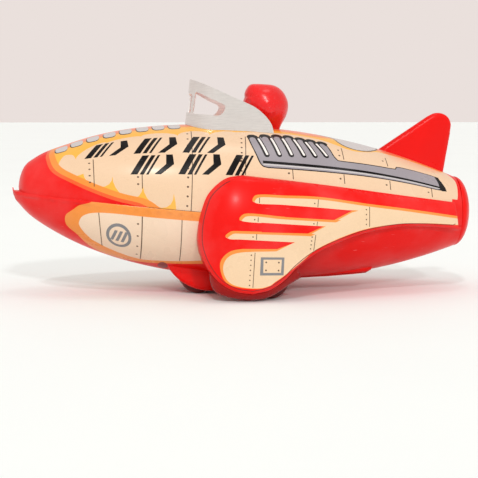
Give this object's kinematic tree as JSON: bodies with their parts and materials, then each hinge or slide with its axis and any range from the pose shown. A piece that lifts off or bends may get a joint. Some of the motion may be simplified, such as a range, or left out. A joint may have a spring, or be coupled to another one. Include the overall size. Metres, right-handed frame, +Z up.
{
  "type": "tin toy rocket",
  "caption": "Tin rocket racer toy: printed two-shell body with side fenders, tail fin, windscreen and driver's head, over a belly pan with a flywheel push-and-go motor.",
  "frame": {"origin": "on the floor plane under the middle of the toy", "axes": "+X from nose to tail, +Y toward the toy's right side, +Z up"},
  "size_m": [0.1776, 0.076, 0.0802],
  "materials": {
    "printed_tin": "gloss lacquer over printed tin",
    "printed_tin_fender": "gloss lacquer over printed tin",
    "red_enamel": "gloss enamel",
    "bright_tin": "satin tinplate",
    "zinc_plate": "satin",
    "steel_shaft": "polished",
    "flywheel_iron": "cast, rim turned",
    "brass": "satin",
    "red_plastic": "gloss",
    "black_rubber": "matt"
  },
  "bodies": {
    "body": {"upper_shell": "printed_tin", "lower_shell": "printed_tin", "tail_cap": "red_enamel", "base_pan": "red_enamel", "fender_left": "printed_tin_fender", "fender_right": "printed_tin_fender", "tail_fin_left": "red_enamel", "tail_fin_right": "red_enamel", "windscreen": "bright_tin", "driver_head": "red_plastic", "driver_retainer": "bright_tin", "motor_plate_left": "zinc_plate", "motor_plate_right": "zinc_plate", "motor_pillars": "zinc_plate", "motor_rivets": "brass", "drive_bush_left": "brass", "drive_bush_right": "brass"},
    "flywheels": {"flywheel_left": "flywheel_iron", "flywheel_right": "flywheel_iron", "flywheel_shaft": "steel_shaft", "flywheel_pinion": "brass"},
    "idler": {"idler_shaft": "steel_shaft", "idler_gear": "brass", "idler_pinion": "brass"},
    "drive_wheels": {"drive_axle": "steel_shaft", "drive_gear": "brass", "drive_hub_left": "red_plastic", "drive_hub_right": "red_plastic", "drive_tyre_left": "black_rubber", "drive_tyre_right": "black_rubber"},
    "front_wheels": {"front_axle": "steel_shaft", "front_wheel_left": "red_plastic", "front_wheel_right": "red_plastic", "front_tyre_left": "black_rubber", "front_tyre_right": "black_rubber"}
  },
  "joints": [
    {"name": "flywheel_spin", "type": "hinge", "parent": "body", "child": "flywheels", "pos_m": [-0.00446, 0, 0.01639], "axis": [0, 1, 0], "continuous": true},
    {"name": "idler_spin", "type": "hinge", "parent": "body", "child": "idler", "pos_m": [0.0016, 0, 0.01289], "axis": [0, 1, 0], "continuous": true},
    {"name": "drive_axle_spin", "type": "hinge", "parent": "body", "child": "drive_wheels", "pos_m": [0.005, 0, 0.007], "axis": [0, 1, 0], "continuous": true},
    {"name": "front_axle_spin", "type": "hinge", "parent": "body", "child": "front_wheels", "pos_m": [-0.02, 0, 0.0062], "axis": [0, 1, 0], "continuous": true}
  ],
  "couplings": [
    {"joint": "idler_spin", "follows": "flywheel_spin", "ratio": -0.4},
    {"joint": "drive_axle_spin", "follows": "flywheel_spin", "ratio": 0.16667}
  ]
}
